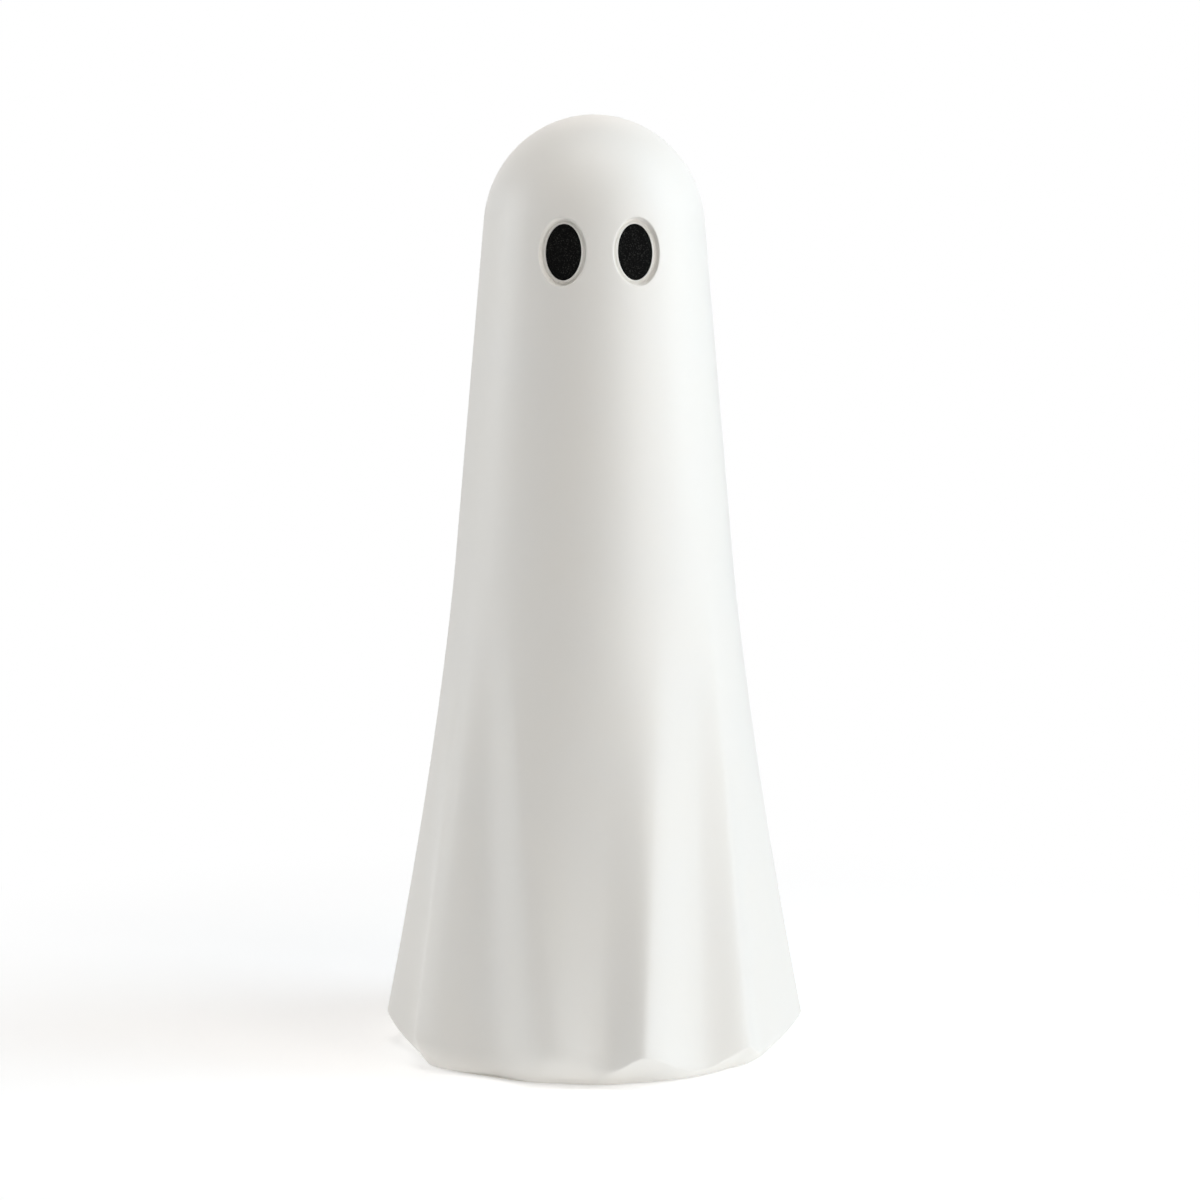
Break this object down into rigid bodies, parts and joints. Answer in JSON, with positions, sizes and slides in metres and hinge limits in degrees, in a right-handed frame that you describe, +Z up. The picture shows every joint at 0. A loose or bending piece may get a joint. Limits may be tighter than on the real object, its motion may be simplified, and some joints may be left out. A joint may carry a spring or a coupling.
{
  "type": "ghost decoration",
  "caption": "Tall draped ghost decoration: a hollow moulded shell with oval eye inserts, lit from inside by a battery powered board in its base, with a slide switch and battery door.",
  "frame": {"origin": "on the ground, under the middle of the dome", "axes": "+Z up along the body, -Y towards the face, +X towards the figure's left"},
  "size_m": [0.2279, 0.224, 0.508],
  "materials": {
    "shell_plastic": "fine satin moulded polyethylene, white",
    "eye_plastic": "black with a fine pale speckle",
    "pad_rubber": "matt moulded rubber",
    "base_plastic": "fine spark texture, white",
    "screw_steel": "zinc plated",
    "case_plastic": "black moulded",
    "cell_jacket": "plain shrink sleeve",
    "contact_nickel": "nickel plated spring steel",
    "circuit_board": "green solder mask",
    "chip_plastic": "moulded black epoxy",
    "capacitor_sleeve": "plain shrink sleeve",
    "slider_plastic": "black acetal",
    "led_epoxy": "warm white, diffuse epoxy",
    "red_lead": "soft vinyl",
    "black_lead": "soft vinyl"
  },
  "bodies": {
    "figure": {"body_shell": "shell_plastic", "left_eye": "eye_plastic", "right_eye": "eye_plastic", "foot_pad_1": "pad_rubber", "foot_pad_2": "pad_rubber", "foot_pad_3": "pad_rubber", "foot_pad_4": "pad_rubber", "base_plate": "base_plastic", "base_screw_1": "screw_steel", "base_screw_2": "screw_steel", "base_screw_3": "screw_steel", "base_screw_4": "screw_steel", "battery_case": "case_plastic", "case_screw_1": "screw_steel", "case_screw_2": "screw_steel", "battery_cell_1": "cell_jacket", "battery_cell_2": "cell_jacket", "battery_cell_3": "cell_jacket", "contact_positive": "contact_nickel", "contact_negative": "contact_nickel", "contact_link_1": "contact_nickel", "contact_link_2": "contact_nickel", "control_board": "circuit_board", "timer_chip": "chip_plastic", "capacitor": "capacitor_sleeve", "board_screw_1": "screw_steel", "board_screw_2": "screw_steel", "switch_body": "chip_plastic", "led_board": "circuit_board", "led_board_screw_1": "screw_steel", "led_board_screw_2": "screw_steel", "led_1": "led_epoxy", "led_2": "led_epoxy", "led_3": "led_epoxy", "led_4": "led_epoxy", "battery_plus_lead": "red_lead", "battery_minus_lead": "black_lead", "led_plus_lead": "red_lead", "led_minus_lead": "black_lead"},
    "battery_door": {"battery_door": "base_plastic", "door_screw": "screw_steel"},
    "switch_slider": {"switch_slider": "slider_plastic"}
  },
  "joints": [
    {"name": "battery_door_hinge", "type": "hinge", "parent": "figure", "child": "battery_door", "pos_m": [-0.008, 0.0326, 0.0023], "axis": [1, 0, 0], "range_deg": [0, 95]},
    {"name": "switch_slide", "type": "slide", "parent": "figure", "child": "switch_slider", "axis": [0, 1, 0], "range_m": [0, 0.004]}
  ]
}
